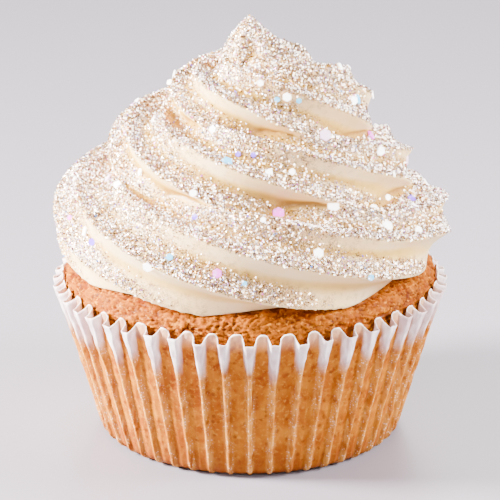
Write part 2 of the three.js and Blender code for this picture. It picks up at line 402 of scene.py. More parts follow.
# where a point is on its own pleat: 0 on the fold's middle, 0.5 on the middle of the panel beside it
counted = plus(fluted, times(fluted, around, inside["Pleats"]), 0.5)
pleat = maths(fluted, "FLOORED_MODULO", maths(fluted, "FLOOR", counted), inside["Pleats"])
phase = minus(fluted, maths(fluted, "FRACT", counted), 0.5)
hold = minus(fluted, 1.0, times(fluted, 4.0, times(fluted, phase, phase)))
sway = times(fluted, for_each_pleat(pleat, -0.055, 0.055, 1), times(fluted, hold, up_wall))
aside = maths(fluted, "ABSOLUTE", plus(fluted, phase, sway))

# the fold is a narrow rib below and opens into a pocket above
free_from = plus(fluted, inside["Free From"], for_each_pleat(pleat, -1.5 * MM, 2.0 * MM, 2))
height = times(fluted, up_wall, inside["Rim Height"])
opening = step_between(fluted, height, free_from, inside["Rim Height"], smooth=False)
half_width = between(fluted, opening, 0.105, for_each_pleat(pleat, 0.20, 0.265, 3))
fold = step_between(fluted, aside, plus(fluted, half_width, 0.05), minus(fluted, half_width, 0.045))
free = times(
    fluted,
    step_between(fluted, opening, 0.0, 0.5),
    step_between(fluted, aside, plus(fluted, half_width, 0.075), plus(fluted, half_width, 0.01)),
)

# radii: straight from foot to rim, with the panels bowed over the cake and curled onto it at the top
panel_radius = between(fluted, up_wall, inside["Foot Panel Radius"], inside["Rim Panel Radius"])
fold_radius = between(fluted, up_wall, inside["Foot Fold Radius"], inside["Rim Fold Radius"])
bow = times(fluted, 0.22 * MM, times(fluted, 4.0, times(fluted, aside, aside)))
curl = times(fluted, -0.45 * MM, step_between(fluted, up_wall, 0.9, 1.0))
panel = plus(fluted, panel_radius, plus(fluted, bow, curl))
pleated = between(fluted, fold, panel, fold_radius)

angle = times(fluted, around, 2 * math.pi)
cosine, sine = maths(fluted, "COSINE", angle), maths(fluted, "SINE", angle)
circle = add(fluted, "ShaderNodeCombineXYZ", {0: cosine, 1: sine})
spot = add(fluted, "ShaderNodeCombineXYZ", {0: pleated, 1: pleated, 2: height})
spread = add(fluted, "ShaderNodeVectorMath", {0: circle.outputs[0], 1: spot.outputs[0]}, operation="MULTIPLY")
upright = add(fluted, "ShaderNodeCombineXYZ", {2: height})
on_wall = add(fluted, "ShaderNodeVectorMath", {0: spread.outputs[0], 1: upright.outputs[0]}, operation="ADD")
crumple = {"Vector": on_wall.outputs[0], "Scale": 330.0, "Detail": 2.0}
creases = add(fluted, "ShaderNodeTexNoise", crumple).outputs[0]
wrinkle = times(
    fluted,
    times(fluted, 0.55 * MM, minus(fluted, creases, 0.5)),
    step_between(fluted, up_wall, 0.02, 0.12),
)
lift = minus(fluted, 1.0, step_between(fluted, height, 0.0, inside["Foot Round"], smooth=False))
foot_round = times(fluted, inside["Foot Round"], maths(fluted, "POWER", lift, 2.5))
radius = times(fluted, across_base, minus(fluted, plus(fluted, pleated, wrinkle), foot_round))

# the cut edge: lower on the folds, a soft arch on the panels
arch = maths(fluted, "DIVIDE", minus(fluted, 0.5, aside), minus(fluted, 0.5, half_width))
arch = times(fluted, 1.2 * MM, maths(fluted, "POWER", maths(fluted, "MINIMUM", arch, 1.0), 2.6))
drop = plus(fluted, arch, times(fluted, fold, for_each_pleat(pleat, 0.1 * MM, 0.7 * MM, 4)))
ragged = times(fluted, 1.2 * MM, minus(fluted, creases, 0.5))
cut = minus(fluted, 1.0, maths(fluted, "DIVIDE", plus(fluted, drop, ragged), inside["Rim Height"]))
top = times(fluted, height, between(fluted, maths(fluted, "POWER", up_wall, 3.0), 1.0, cut))
place_bent = {
    0: times(fluted, radius, cosine),
    1: times(fluted, radius, sine),
    2: maths(fluted, "MINIMUM", top, inside["Rim Height"]),
}
bent = add(fluted, "ShaderNodeCombineXYZ", place_bent)
# the masks are stored while the grid is still flat, because moving it changes what they are worked out from
marked = sheet.outputs["Mesh"]
for label, value, data_type in (
    ("free", free, "FLOAT"),
    ("rise", up_wall, "FLOAT"),
    ("aside", aside, "FLOAT"),
    ("bent", bent.outputs[0], "FLOAT_VECTOR"),
):
    mark = {"Geometry": marked, "Name": label, "Value": value}
    marked = add(fluted, "GeometryNodeStoreNamedAttribute", mark, data_type=data_type).outputs[0]
kept = add(fluted, "GeometryNodeInputNamedAttribute", {"Name": "bent"}, data_type="FLOAT_VECTOR").outputs[0]
moved = add(fluted, "GeometryNodeSetPosition", {"Geometry": marked, "Position": kept}).outputs[0]
closed = add(fluted, "GeometryNodeMergeByDistance", {"Geometry": moved, "Distance": 0.005 * MM}).outputs[0]
cleared = add(fluted, "GeometryNodeRemoveAttribute", {"Geometry": closed, "Name": "bent"}).outputs[0]
end_tree(fluted, cleared, inside["Finish"], out["Geometry"])
print("fluted case:", len(fluted.nodes), "nodes")

# %% [markdown]
# ## The paper case: its finish
#
# Where the paper clings to the cake, butter has soaked it and the golden crumb shows through, darker at the
# foot. The open pockets are dry, so they stay white with a trace of lilac. Pale streaks along the creases
# are painted highlights. The masks stored by the tree say which is which, and the shared groups break them
# up.

# %% Make the greaseproof paper
PAPER_THICKNESS = 0.16 * MM

paper, tree, shader, place = new_material(
    "greaseproof_paper",
    specular_ior_level=0.05,
    subsurface_weight=0.12,
    subsurface_scale=1.0 * MM,
    subsurface_radius=(1.0, 0.7, 0.5),
)
free_mask, rise, beside = (attribute(tree, name) for name in ("free", "rise", "aside"))

# painted highlight: pale streaks and speckles beside each fold stand for light caught by the creases
crease_highlight_mask = times(tree, step_between(tree, beside, 0.30, 0.06), patch(1000.0, 0.34, 0.66, (1.0, 1.0, 0.3)))
soaked = layered(
    blend(patch(260.0, 0.36, 0.66), (153, 80, 6), (180, 108, 14)),
    (patch(620.0, 0.46, 0.70), between(tree, step_between(tree, rise, 0.35, 0.75), 0.45, 0.9), (126, 52, 6)),
    (patch(1500.0, 0.52, 0.70), 0.5, (204, 138, 44)),
    (speck(1100.0, 0.16)[0], 0.55, (96, 38, 4)),
    (step_between(tree, rise, 0.30, 0.0), 0.75, (112, 48, 14)),
    (crease_highlight_mask, 0.6, (220, 154, 72)),
    (times(tree, crease_highlight_mask, speck(3300.0, 0.24)[0]), 0.7, (252, 222, 206)),
    (step_between(tree, rise, 0.87, 1.0), 0.45, (236, 200, 174)),
    (step_between(tree, rise, 0.990, 0.999), 1.0, (252, 244, 244)),
)
dry = blend(patch(700.0, 0.35, 0.7, (1.0, 1.0, 0.25)), (204, 172, 174), (250, 234, 234))
fill(tree, shader["Base Color"], tinted(tree, free_mask, soaked, dry))
bumpy(plus(tree, times(tree, fine_grain(2600.0), 0.35), patch(900.0, 0.3, 0.7)), 0.35, 0.12 * MM)
fill(tree, shader["Roughness"], between(tree, patch(500.0, 0.35, 0.65), 0.36, 0.6))
print("paper:", len(tree.nodes), "nodes")

# %% Grow the case and give the paper its thickness
cup = grow("case_sheet", bpy.data.meshes.new("no_mesh"), fluted, {"Pleats": PLEATS, "Finish": paper})
shell = bmesh.new()
shell.from_mesh(cup)
bmesh.ops.remove_doubles(shell, verts=shell.verts, dist=0.002 * MM)
bmesh.ops.recalc_face_normals(shell, faces=shell.faces)
base_face = min(shell.faces, key=lambda face: face.calc_center_median().z)
if base_face.normal.z > 0:
    bmesh.ops.reverse_faces(shell, faces=shell.faces)
shell.to_mesh(cup)
shell.free()
holder = new_object("case_holder", cup)
thicken = holder.modifiers.new("thicken", "SOLIDIFY")
thicken.thickness = PAPER_THICKNESS
thicken.offset = -1
case = settled(holder, "paper_case_fluted")
set_piece("paper_case_fluted", case, paper, instead_of="paper_case")

# %% [markdown]
# ## The sponge: its shape
#
# The cake fills the case and domes above it, and only a band between the rim and the cream can be seen. Its
# crust is torn and pitted where it rose against the paper. A turned outline would look like plastic, so the
# outline is turned into a fine grid and every point is then pushed inwards by layered noise.

# %% Turn the outline and roughen the crust
CRUST = [
    (0.0, 0.75),
    (25.2, 0.75),
    (26.2, 2.2),
    (32.95, 27.2),
    (33.0, 28.7),
    (32.6, 30.0),
    (31.7, 31.2),
    (29.4, 32.25),
    (25.0, 33.4),
    (15.0, 35.2),
    (0.0, 36.2),
]
CRUST_COLUMNS = 640
CRUST_ROWS = 150
CRUST_RELIEF = 0.85 * MM
CRUST_SHOWS = (26.5 * MM, 35.5 * MM)
RELIEF_GROWS_OVER = 1.5 * MM
SHOULDER = 29.5 * MM
SHOULDER_RISE = 3 * MM


def walk(outline, steps):
    """Evenly spaced places along an outline, in metres, closer together on its visible shoulder."""
    corners = np.array(outline) * MM
    lengths = np.concatenate([[0], np.cumsum(np.linalg.norm(np.diff(corners, axis=0), axis=1))])
    inside_case = lengths[3]
    under_cream = lengths[8]
    share = np.concatenate([
        np.linspace(0, inside_case, steps // 5, endpoint=False),
        np.linspace(inside_case, under_cream, 3 * steps // 5, endpoint=False),
        np.linspace(under_cream, lengths[-1], steps // 5 + 1),
    ])
    return np.stack([np.interp(share, lengths, corners[:, k]) for k in (0, 1)], axis=1)


def turned(outline, columns):
    """Vertices and faces of an outline turned round the upright axis, closed at both poles."""
    angles = np.linspace(0, 2 * math.pi, columns, endpoint=False)
    ring = outline[1:-1]
    wall = np.stack([
        np.outer(ring[:, 0], np.cos(angles)),
        np.outer(ring[:, 0], np.sin(angles)),
        np.repeat(ring[:, 1:], columns, axis=1),
    ], axis=2).reshape(-1, 3)
    vertices = np.concatenate([[[0, 0, outline[0, 1]]], wall, [[0, 0, outline[-1, 1]]]])
    faces = []
    for row in range(len(ring) - 1):
        for i in range(columns):
            a, b = 1 + row * columns + i, 1 + row * columns + (i + 1) % columns
            faces.append((a, b, b + columns, a + columns))
    last = 1 + (len(ring) - 1) * columns
    for i in range(columns):
        j = (i + 1) % columns
        faces.append((0, 1 + j, 1 + i))
        faces.append((len(vertices) - 1, last + i, last + j))
    return vertices, faces


def crumb_depth(point):
    """How far the crust is torn or pitted there, from 0 to about 1."""
    x, y, z = point / MM
    lumps = noise.noise((x * 0.35, y * 0.35, z * 0.5))
    tears = abs(noise.noise((x * 0.9, y * 0.9, z * 1.3 + 7)))
    pits = noise.noise((x * 2.1 + 3, y * 2.1, z * 2.1)) + 0.5 * noise.noise((x * 4.3, y * 4.3, z * 4.3 + 5))
    return 0.35 + 0.4 * lumps + 0.75 * (0.25 - tears) + 0.32 * pits


places, crust_faces = turned(walk(CRUST, CRUST_ROWS), CRUST_COLUMNS)
crust_height = places[:, 2]
shown = (crust_height > CRUST_SHOWS[0]) & (crust_height < CRUST_SHOWS[1])
depth = np.zeros(len(places))
depth[shown] = [crumb_depth(point) for point in places[shown]]
fade = np.clip((crust_height - CRUST_SHOWS[0]) / RELIEF_GROWS_OVER, 0, 1)
inward = places * [1.0, 1.0, 0.0]
inward /= np.maximum(np.linalg.norm(inward, axis=1, keepdims=True), 1e-9)
level = np.clip((crust_height - SHOULDER) / SHOULDER_RISE, 0, 1)[:, None]
push = inward * (1 - 0.65 * level) + np.array([0, 0, 1.0]) * (0.25 + 0.65 * level)
places -= push * (np.maximum(depth, 0) * fade * CRUST_RELIEF)[:, None]
crust_mesh = bpy.data.meshes.new("sponge_crust")
crust_mesh.from_pydata(places.tolist(), [], crust_faces)
store(crust_mesh, "pit", np.clip(depth, 0, 1))
print("crust relief up to", round(float(depth.max() * CRUST_RELIEF / MM), 2), "mm")

# %% [markdown]
# ## The sponge: its finish
#
# Baked crust is pale gold on its lumps, and painted shade darkens it to orange brown in its pits and tears.
# Fat makes it glisten a little, and small paler patches are painted glints. The depth of the relief is
# stored on the mesh, so the painted shade follows the very same pits.

# %% Make the golden crumb
crumb, tree, shader, place = new_material(
    "golden_crumb",
    specular_ior_level=0.05,
    subsurface_weight=0.1,
    subsurface_scale=0.8 * MM,
    subsurface_radius=(1.0, 0.45, 0.15),
)
pit = attribute(tree, "pit")
# painted shade: the colour darkens to orange brown with the depth of the pits; the paler small patches are
# painted glints
golden = layered(
    blend(step_between(tree, pit, 0.15, 0.75), (150, 80, 0), (80, 30, 0)),
    (patch(330.0, 0.45, 0.68), 0.7, (116, 46, 2)),
    (patch(1300.0, 0.55, 0.70), 0.7, (216, 134, 34)),
    (speck(1500.0, 0.2)[0], 0.6, (76, 26, 0)),
)
fill(tree, shader["Base Color"], golden)
bumpy(fine_grain(1700.0), 0.7, 0.25 * MM)
fill(tree, shader["Roughness"], between(tree, patch(900.0, 0.4, 0.6), 0.34, 0.8))
set_piece("sponge_crust", crust_mesh, crumb, instead_of="sponge")

# %% [markdown]
# ## The buttercream: the rope that the nozzle leaves
#
# A star nozzle leaves a rope of star section, wound inwards and upwards and pulled off into a point. The
# nozzle keeps its heading while the hand goes round, so the ridges roll along the rope. The path, the size
# and the depth of the grooves come from the same stations as the solid's, joined by a curve that never
# overshoots.

# %% Stations of the rope and the curve through them
TEETH = 8
TOOTH_HEADING = math.radians(22.5)
TOOTH_SHARPNESS = 0.9
POINTS_PER_TOOTH = 16
RINGS_PER_TURN = 140
# turn, radius, height, size, groove, top
ROPE = np.array([
    (-0.24, 22.5, 37.5, 3.0, 0.25, 0.6),
    (-0.16, 23.4, 37.8, 8.6, 0.28, 0.55),
    (0.0, 25.4, 40.6, 10.6, 0.2, 0.5),
    (0.25, 25.0, 39.8, 10.8, 0.24, 1.0),
    (0.5, 24.6, 39.6, 10.6, 0.18, 1.0),
    (0.75, 21.4, 41.4, 9.8, 0.26, 1.0),
    (1.0, 19.2, 49.0, 10.2, 0.2, 0.66),
    (1.25, 17.8, 51.8, 10.0, 0.28, 1.0),
    (1.5, 15.7, 51.5, 9.6, 0.28, 1.0),
    (1.75, 12.6, 52.6, 8.6, 0.28, 1.0),
    (2.0, 13.3, 58.4, 8.8, 0.18, 1.0),
    (2.25, 10.2, 61.6, 9.2, 0.28, 1.0),
    (2.5, 6.7, 60.0, 8.5, 0.28, 1.0),
    (2.75, 4.5, 60.2, 8.5, 0.28, 1.0),
    (3.0, 2.8, 64.2, 8.8, 0.16, 1.0),
    (3.12, 1.5, 67.6, 7.8, 0.2, 1.0),
    (3.22, 0.6, 71.4, 4.8, 0.24, 1.0),
    (3.3, 0.0, 76.0, 0.15, 0.2, 1.0),
])


def curve_through(known, values, wanted):
    """A cubic through the stations that never overshoots them."""
    steps = np.diff(known)
    slopes = np.diff(values) / steps
    tangents = np.empty_like(values)
    tangents[0], tangents[-1] = slopes[0], slopes[-1]
    before, after = 2 * steps[1:] + steps[:-1], steps[1:] + 2 * steps[:-1]
    rising = slopes[:-1] * slopes[1:] > 0
    safe_before = np.where(rising, slopes[:-1], 1)
    safe_after = np.where(rising, slopes[1:], 1)
    tangents[1:-1] = np.where(rising, (before + after) / (before / safe_before + after / safe_after), 0)
    i = np.clip(np.searchsorted(known, wanted) - 1, 0, len(known) - 2)
    t = (wanted - known[i]) / steps[i]
    return (
        values[i] * (2 * t**3 - 3 * t**2 + 1)
        + values[i + 1] * (3 * t**2 - 2 * t**3)
        + tangents[i] * steps[i] * (t**3 - 2 * t**2 + t)
        + tangents[i + 1] * steps[i] * (t**3 - t**2)
    )


def rope_value(column, turns):
    """One column of the stations, at any turn."""
    return curve_through(ROPE[:, 0], ROPE[:, column], turns)


def rope_middle(turns):
    """The middle of the rope at each turn, counted from the right-hand side, clockwise from above."""
    headings = math.pi / 2 - 2 * math.pi * turns
    out_there = rope_value(1, turns)
    columns = (out_there * np.sin(headings), -out_there * np.cos(headings), rope_value(2, turns))
    return np.stack(columns, axis=1)


turns = np.linspace(ROPE[0, 0], ROPE[-1, 0], int((ROPE[-1, 0] - ROPE[0, 0]) * RINGS_PER_TURN))
rope_steps = np.linalg.norm(np.diff(rope_middle(turns), axis=0), axis=1)
print("rope:", len(turns), "rings,", round(float(rope_steps.sum())), "mm long")

# %% Sweep the star section along the rope


def rope_rings(turns):
    """The star-shaped rings of the rope, in millimetres."""
    nudge = 1e-3
    middle = rope_middle(turns)
    ahead = rope_middle(turns + nudge) - rope_middle(turns - nudge)
    ahead /= np.linalg.norm(ahead, axis=1, keepdims=True)
    headings = math.pi / 2 - 2 * math.pi * turns
    outward = np.stack([np.sin(headings), -np.cos(headings), np.zeros_like(headings)], axis=1)
    outward -= (outward * ahead).sum(axis=1, keepdims=True) * ahead
    outward /= np.linalg.norm(outward, axis=1, keepdims=True)
    above = np.cross(ahead, outward)
    fraction = np.arange(TEETH * POINTS_PER_TOOTH) / (TEETH * POINTS_PER_TOOTH)
    cut = np.abs(np.sin(math.pi * TEETH * fraction)) ** TOOTH_SHARPNESS
    reach = rope_value(3, turns)[:, None] * (1 - rope_value(4, turns)[:, None] * cut[None])
    roll = TOOTH_HEADING + 2 * math.pi * fraction[None] - headings[:, None]
    across = (reach * np.cos(roll))[:, :, None] * outward[:, None]
    rise_there = np.sin(roll)
    pressed = np.where(rise_there > 0, rise_there * rope_value(5, turns)[:, None], rise_there)
    return middle[:, None] + across + (reach * pressed)[:, :, None] * above[:, None]


def closed_sweep(rings):
    """Vertices and faces of a skin over the rings, with a fan over each end."""
    count, around_ring = rings.shape[:2]
    vertices = np.concatenate([rings.reshape(-1, 3), rings[:1].mean(axis=1), rings[-1:].mean(axis=1)])
    i = np.arange(around_ring)
    j = (i + 1) % around_ring
    walls = []
    for row in range(count - 1):
        low, high = row * around_ring, (row + 1) * around_ring
        walls.append(np.stack([low + i, low + j, high + j, high + i], axis=1))
    first, last = count * around_ring, (count - 1) * around_ring
    fans = [(first, b, a) for a, b in zip(i, j)] + [(first + 1, last + a, last + b) for a, b in zip(i, j)]
    return vertices, np.concatenate(walls).tolist() + [tuple(int(v) for v in fan) for fan in fans]


CORE = np.array([(0, 30), (24, 30), (24, 42), (16, 50), (11, 57), (6, 63), (0, 67)], dtype=float)
rope_vertices, rope_faces = closed_sweep(rope_rings(turns))
core_vertices, core_faces = turned(CORE, 96)
cream_mesh = bpy.data.meshes.new("buttercream_swirl")
shifted = [tuple(v + len(rope_vertices) for v in face) for face in core_faces]
all_vertices = np.concatenate([rope_vertices, core_vertices]) * MM
cream_mesh.from_pydata(all_vertices.tolist(), [], rope_faces + shifted)
print("swept:", len(cream_mesh.vertices), "vertices")

# %% [markdown]
# ## The buttercream: one skin
#
# The coils press into each other and into the core. Real cream has only its outer skin, so the overlapping
# shells are turned into small cubes and back, which keeps the outside alone, and a little smoothing takes
# the steps away. The cake's own shape is then cut from underneath, so that the cream sits on it.

# %% Remesh, smooth and cut the swirl
VOXEL = 0.395 * MM
IMPRINT_FOOT = [(0.0, 20.0), (31.0, 20.0)]
IMPRINT_MARGIN = 0.1

holder = new_object("swirl_holder", cream_mesh)
cubes = holder.modifiers.new("one_skin", "REMESH")
cubes.mode = "VOXEL"
cubes.voxel_size = VOXEL
soften = holder.modifiers.new("soften", "SMOOTH")
soften.factor = 0.5
soften.iterations = 3
imprint_outline = np.array(IMPRINT_FOOT + [
    (r + IMPRINT_MARGIN if r else 0.0, z + IMPRINT_MARGIN) for r, z in CRUST[3:]
]) * MM
imprint_mesh = bpy.data.meshes.new("imprint")
imprint_vertices, imprint_faces = turned(imprint_outline, 192)
imprint_mesh.from_pydata(imprint_vertices.tolist(), [], imprint_faces)
imprint = new_object("imprint", imprint_mesh)
cutter = holder.modifiers.new("cake_below", "BOOLEAN")
cutter.operation = "DIFFERENCE"
cutter.solver = "MANIFOLD"
cutter.object = imprint
swirl = settled(holder, "buttercream_swirl")
bpy.data.objects.remove(imprint)
print("swirl:", len(swirl.vertices), "vertices", len(swirl.polygons), "faces")

# %% [markdown]
# ## The buttercream: where light and glitter reach
#
# Glitter is shaken on from above, so it lies on what faces up and never under an overhang. Rays towards the
# sky, tested against the mesh itself, measure that. A second number measures how deep in a crease a point
# lies: the mesh is smoothed a good deal, and where the smoothed skin stands outside the real one, there is
# a valley.

# %% Measure exposure and creases
# tilt in degrees, rays round the ring, and how far the ring is turned, in rays
SKY_TILTS = ((0, 1, 0.0), (28, 5, 0.0), (56, 6, 0.5))
RAY_START = 0.25 * MM
RAY_LENGTH = 30 * MM
GRAZING = 0.05
FULL_EXPOSURE = 0.62
CREASE_PASSES = 30
CREASE_SCALE = 0.7 * MM


def sky_exposure(mesh):
    """For each vertex, how much glitter falling from above settles there."""
    tree_of_faces = BVHTree.FromPolygons([v.co for v in mesh.vertices], [p.vertices for p in mesh.polygons])
    rays = []
    for tilt, count, start_turn in SKY_TILTS:
        out_by, up_by = math.sin(math.radians(tilt)), math.cos(math.radians(tilt))
        for k in range(count):
            turn_angle = 2 * math.pi * (k + start_turn) / count
            rays.append(Vector((out_by * math.cos(turn_angle), out_by * math.sin(turn_angle), up_by)))
    amounts = np.zeros(len(mesh.vertices))
    for index, vertex in enumerate(mesh.vertices):
        start = vertex.co + vertex.normal * RAY_START
        total = 0.0
        for ray in rays:
            facing = ray.dot(vertex.normal)
            if facing > GRAZING and tree_of_faces.ray_cast(start, ray, RAY_LENGTH)[0] is None:
                total += facing
        amounts[index] = total / len(rays)
    return amounts


def crease_depth(mesh):
    """For each vertex, how deep it lies in a valley, in metres."""
    pairs = np.empty(len(mesh.edges) * 2, dtype=np.int64)
    mesh.edges.foreach_get("vertices", pairs)
    a, b = pairs.reshape(-1, 2).T
    start = points_of(mesh)
    smooth = start.copy()
    neighbours = np.bincount(a, minlength=len(start)) + np.bincount(b, minlength=len(start))
    for _ in range(CREASE_PASSES):
        total = np.stack([
            np.bincount(a, smooth[b, k], len(start)) + np.bincount(b, smooth[a, k], len(start))
            for k in range(3)
        ], axis=1)
        smooth = total / neighbours[:, None]
    normals = np.empty(len(start) * 3)
    mesh.vertices.foreach_get("normal", normals)
    return ((smooth - start) * normals.reshape(-1, 3)).sum(axis=1)


exposure = sky_exposure(swirl)
valley = crease_depth(swirl)
store(swirl, "dust", np.clip(exposure / FULL_EXPOSURE, 0, 1))
store(swirl, "valley", np.clip(valley / CREASE_SCALE, 0, 1))
print("exposure up to", round(float(exposure.max()), 2))
print("valleys up to", round(float(valley.max() / MM), 2), "mm")

# %% [markdown]
# ## The buttercream: its finish
#
# Whipped butter and sugar is ivory, soft and slightly see-through: light goes in about a millimetre, so
# shadows turn warm. The creases get a painted warm shade, ochre with a darker line in the deepest. Where
# glitter lies, the finest of it reads as a greyish, sparkling grain that is too small to model, so the
# shader breaks up the colour there, with dark specks that stand both for brown dust and for painted shade
# between the grains, and the modelled grains sit on top.

# %% Make the cream
cream, tree, shader, place = new_material(
    "ivory_buttercream",
    subsurface_weight=0.45,
    subsurface_scale=1.4 * MM,
    subsurface_radius=(1.0, 0.78, 0.5),
)
dust, crease_shade_mask = attribute(tree, "dust"), attribute(tree, "valley")
# painted shade: an ochre tint in the creases and a darker line in the deepest
ivory = layered(
    blend(patch(120.0, 0.35, 0.65), (250, 212, 150), (252, 220, 168)),
    (step_between(tree, crease_shade_mask, 0.06, 0.4), 0.8, (224, 178, 46)),
    (step_between(tree, crease_shade_mask, 0.3, 0.55), 0.9, (146, 96, 4)),
)
uneven = times(tree, patch(700.0, 0.3, 0.7), 0.16)
covered = step_between(tree, plus(tree, dust, uneven), 0.18, 0.5)
# the dark specks stand both for brown dust and for painted shade between the grains; the crease tint is
# painted shade
pale = layered(
    blend(step_between(tree, speck(5200.0, 0.5)[1], 0.2, 0.8), (108, 64, 10), (246, 204, 138)),
    (step_between(tree, crease_shade_mask, 0.07, 0.44), 0.8, (184, 138, 24)),
)
fill(tree, shader["Base Color"], tinted(tree, times(tree, covered, 0.92), ivory, pale))
sugared = times(tree, fine_grain(4200.0), covered)
bumpy(plus(tree, times(tree, patch(500.0, 0.2, 0.8), 0.25), sugared), 0.5, 0.15 * MM)
fill(tree, shader["Roughness"], between(tree, covered, 0.5, 0.38))
set_piece("buttercream_swirl", swirl, cream, instead_of="buttercream")

# %% [markdown]
# ## The glitter: grains
#
# The dusting is tiny chips of pearly film, about a third of a millimetre across, lying every way. Thousands
# of equal things scattered by a rule are what Geometry Nodes are for. Each chip is a thin closed
# tetrahedron of four faces, so that very many fit, and each keeps a random number for its own tint.

# %% Build the tree that scatters grains
scatter, inside, out = new_group(
    "Shaken Glitter",
    "GeometryNodeTree",
    [
        ("Geometry", "NodeSocketGeometry", None),
        ("Density", NUMBER, 1.0),
        ("Grain Radius", LENGTH, 0.15 * MM),
        ("Thickness", LENGTH, 0.08 * MM),
        ("Corners", COUNT, 3),
        ("Lift", LENGTH, 0.05 * MM),
        ("Tilt", NUMBER, 1.1),
        ("Least Dust", NUMBER, 0.2),
        ("Full Dust", NUMBER, 0.6),
        ("Seed", COUNT, 1),
        ("Finish", "NodeSocketMaterial", None),
    ],
    [("Geometry", "NodeSocketGeometry")],
)


def random_between(kind, low, high, turn):
    """A random number or vector for each grain."""
    first, result = (0, 0) if kind == "FLOAT_VECTOR" else (2, 1)
    inputs = {first: low, first + 1: high, "Seed": plus(scatter, inside["Seed"], turn)}
    return add(scatter, "FunctionNodeRandomValue", inputs, data_type=kind).outputs[result]


fallen = add(scatter, "GeometryNodeInputNamedAttribute", {"Name": "dust"}, data_type="FLOAT").outputs[0]
sunk = add(scatter, "GeometryNodeInputNamedAttribute", {"Name": "valley"}, data_type="FLOAT").outputs[0]
share = step_between(scatter, fallen, inside["Least Dust"], inside["Full Dust"])
share = times(scatter, share, step_between(scatter, sunk, 0.75, 0.0, smooth=False))
density = times(scatter, inside["Density"], share)
shaken = {"Mesh": inside["Geometry"], "Density": density, "Seed": inside["Seed"]}
strewn = add(scatter, "GeometryNodeDistributePointsOnFaces", shaken, distribute_method="RANDOM")
off_skin = {0: strewn.outputs["Normal"], "Scale": inside["Lift"]}
rise_off = add(scatter, "ShaderNodeVectorMath", off_skin, operation="SCALE").outputs[0]
off_points = {"Geometry": strewn.outputs["Points"], "Offset": rise_off}
lifted = add(scatter, "GeometryNodeSetPosition", off_points).outputs[0]
chip_shape = {
    "Vertices": inside["Corners"],
    "Side Segments": 1,
    "Fill Segments": 1,
    "Radius Top": 0.0,
    "Radius Bottom": inside["Grain Radius"],
    "Depth": inside["Thickness"],
}
chip = add(scatter, "GeometryNodeMeshCone", chip_shape, fill_type="NGON").outputs["Mesh"]
lean = times(scatter, inside["Tilt"], -1.0)
low_turn = add(scatter, "ShaderNodeCombineXYZ", {0: lean, 1: lean, 2: 0.0})
high_turn = add(scatter, "ShaderNodeCombineXYZ", {0: inside["Tilt"], 1: inside["Tilt"], 2: 2 * math.pi})
turned_by = random_between("FLOAT_VECTOR", low_turn.outputs[0], high_turn.outputs[0], 1)
tumbled = {"Rotation": strewn.outputs["Rotation"], "Rotate By": turned_by}
facing = add(scatter, "FunctionNodeRotateRotation", tumbled, rotation_space="LOCAL").outputs[0]
chip_size = random_between("FLOAT", 0.65, 1.3, 2)
chips = {"Points": lifted, "Instance": chip, "Rotation": facing, "Scale": chip_size}
laid = add(scatter, "GeometryNodeInstanceOnPoints", chips).outputs[0]
mark = {"Geometry": laid, "Name": "tint", "Value": random_between("FLOAT", 0.0, 1.0, 3)}
named = add(scatter, "GeometryNodeStoreNamedAttribute", mark, data_type="FLOAT", domain="INSTANCE").outputs[0]
end_tree(scatter, named, inside["Finish"], out["Geometry"])
print("scatter tree:", len(scatter.nodes), "nodes")

# %% [markdown]
# ## The glitter: finishes
#
# Pearly film is clear with a thin mirror on it, so it is bright from one side and grey or coloured from
# another. A smooth shader does that, barely metallic for pearl and nearly all metal for champagne, lilac
# and silver. The tint of each grain is one of a few colours. Sparks and rainbow grains glow instead, as if
# they caught the light.

# %% Make the pearly films


def pearly_film(name, metallic, roughness, glow, tints):
    """A shiny film whose tint runs through the given colours from grain to grain."""
    material, tree, shader, _ = new_material(
        name, metallic=metallic, roughness=roughness, emission_strength=glow
    )
    stops = add(tree, "ShaderNodeValToRGB", {0: attribute(tree, "tint")})
    stops.color_ramp.interpolation = "CONSTANT"
    elements = stops.color_ramp.elements
    while len(elements) < len(tints):
        elements.new(1.0)
    for index, (start, tint) in enumerate(tints):
        elements[index].position = start
        elements[index].color = screen_colour(*tint)
    fill(tree, shader["Base Color"], stops.outputs[0])
    if glow:
        fill(tree, shader["Emission Color"], stops.outputs[0])
    return material


# metallic, roughness and glow, then where each tint starts and its colour
FILMS = {
    "pearl": (0.3, 0.3, 0.0, [(0.0, (255, 246, 228)), (0.5, (255, 228, 192)), (0.8, (244, 230, 250))]),
    "champagne": (0.95, 0.36, 0.0, [(0.0, (190, 130, 40)), (0.3, (250, 204, 120)), (0.52, (92, 50, 8))]),
    "lilac": (0.9, 0.34, 0.0, [
        (0.0, (190, 160, 188)), (0.4, (236, 208, 214)), (0.8, (160, 172, 222)), (0.92, (196, 110, 220)),
    ]),
    "silver": (1.0, 0.34, 0.0, [(0.0, (255, 244, 228)), (0.3, (112, 74, 42)), (0.5, (40, 22, 12))]),
    "spark": (0.0, 0.3, 14.0, [(0.0, (255, 252, 248)), (0.5, (255, 244, 230)), (0.8, (246, 240, 255))]),
    "rainbow": (0.0, 0.3, 0.5, [
        (0.0, (206, 60, 190)), (0.3, (116, 64, 236)), (0.55, (50, 140, 240)), (0.8, (240, 84, 176)),
    ]),
}
films = {kind: pearly_film(kind + "_film", *values) for kind, values in FILMS.items()}
print("films:", sorted(films))

# %% Shake the grains on, one kind after another
PER_SQUARE_MM = 1e6
# grains on each square millimetre, their radius in millimetres, and the seed
GLITTER = {
    "pearl": (4.4, 0.175, 11),
    "champagne": (7.0, 0.175, 12),
    "lilac": (3.2, 0.175, 13),
    "silver": (8.0, 0.17, 14),
    "spark": (2.2, 0.18, 15),
    "rainbow": (0.3, 0.23, 16),
}
for kind, (density, grain_radius, seed) in GLITTER.items():
    settings = {
        "Density": density * PER_SQUARE_MM,
        "Grain Radius": grain_radius * MM,
        "Seed": seed,
        "Finish": films[kind],
    }
    grains = grow("glitter_" + kind, swirl.copy(), scatter, settings)
    set_piece("glitter_" + kind, grains, films[kind], smooth=False)
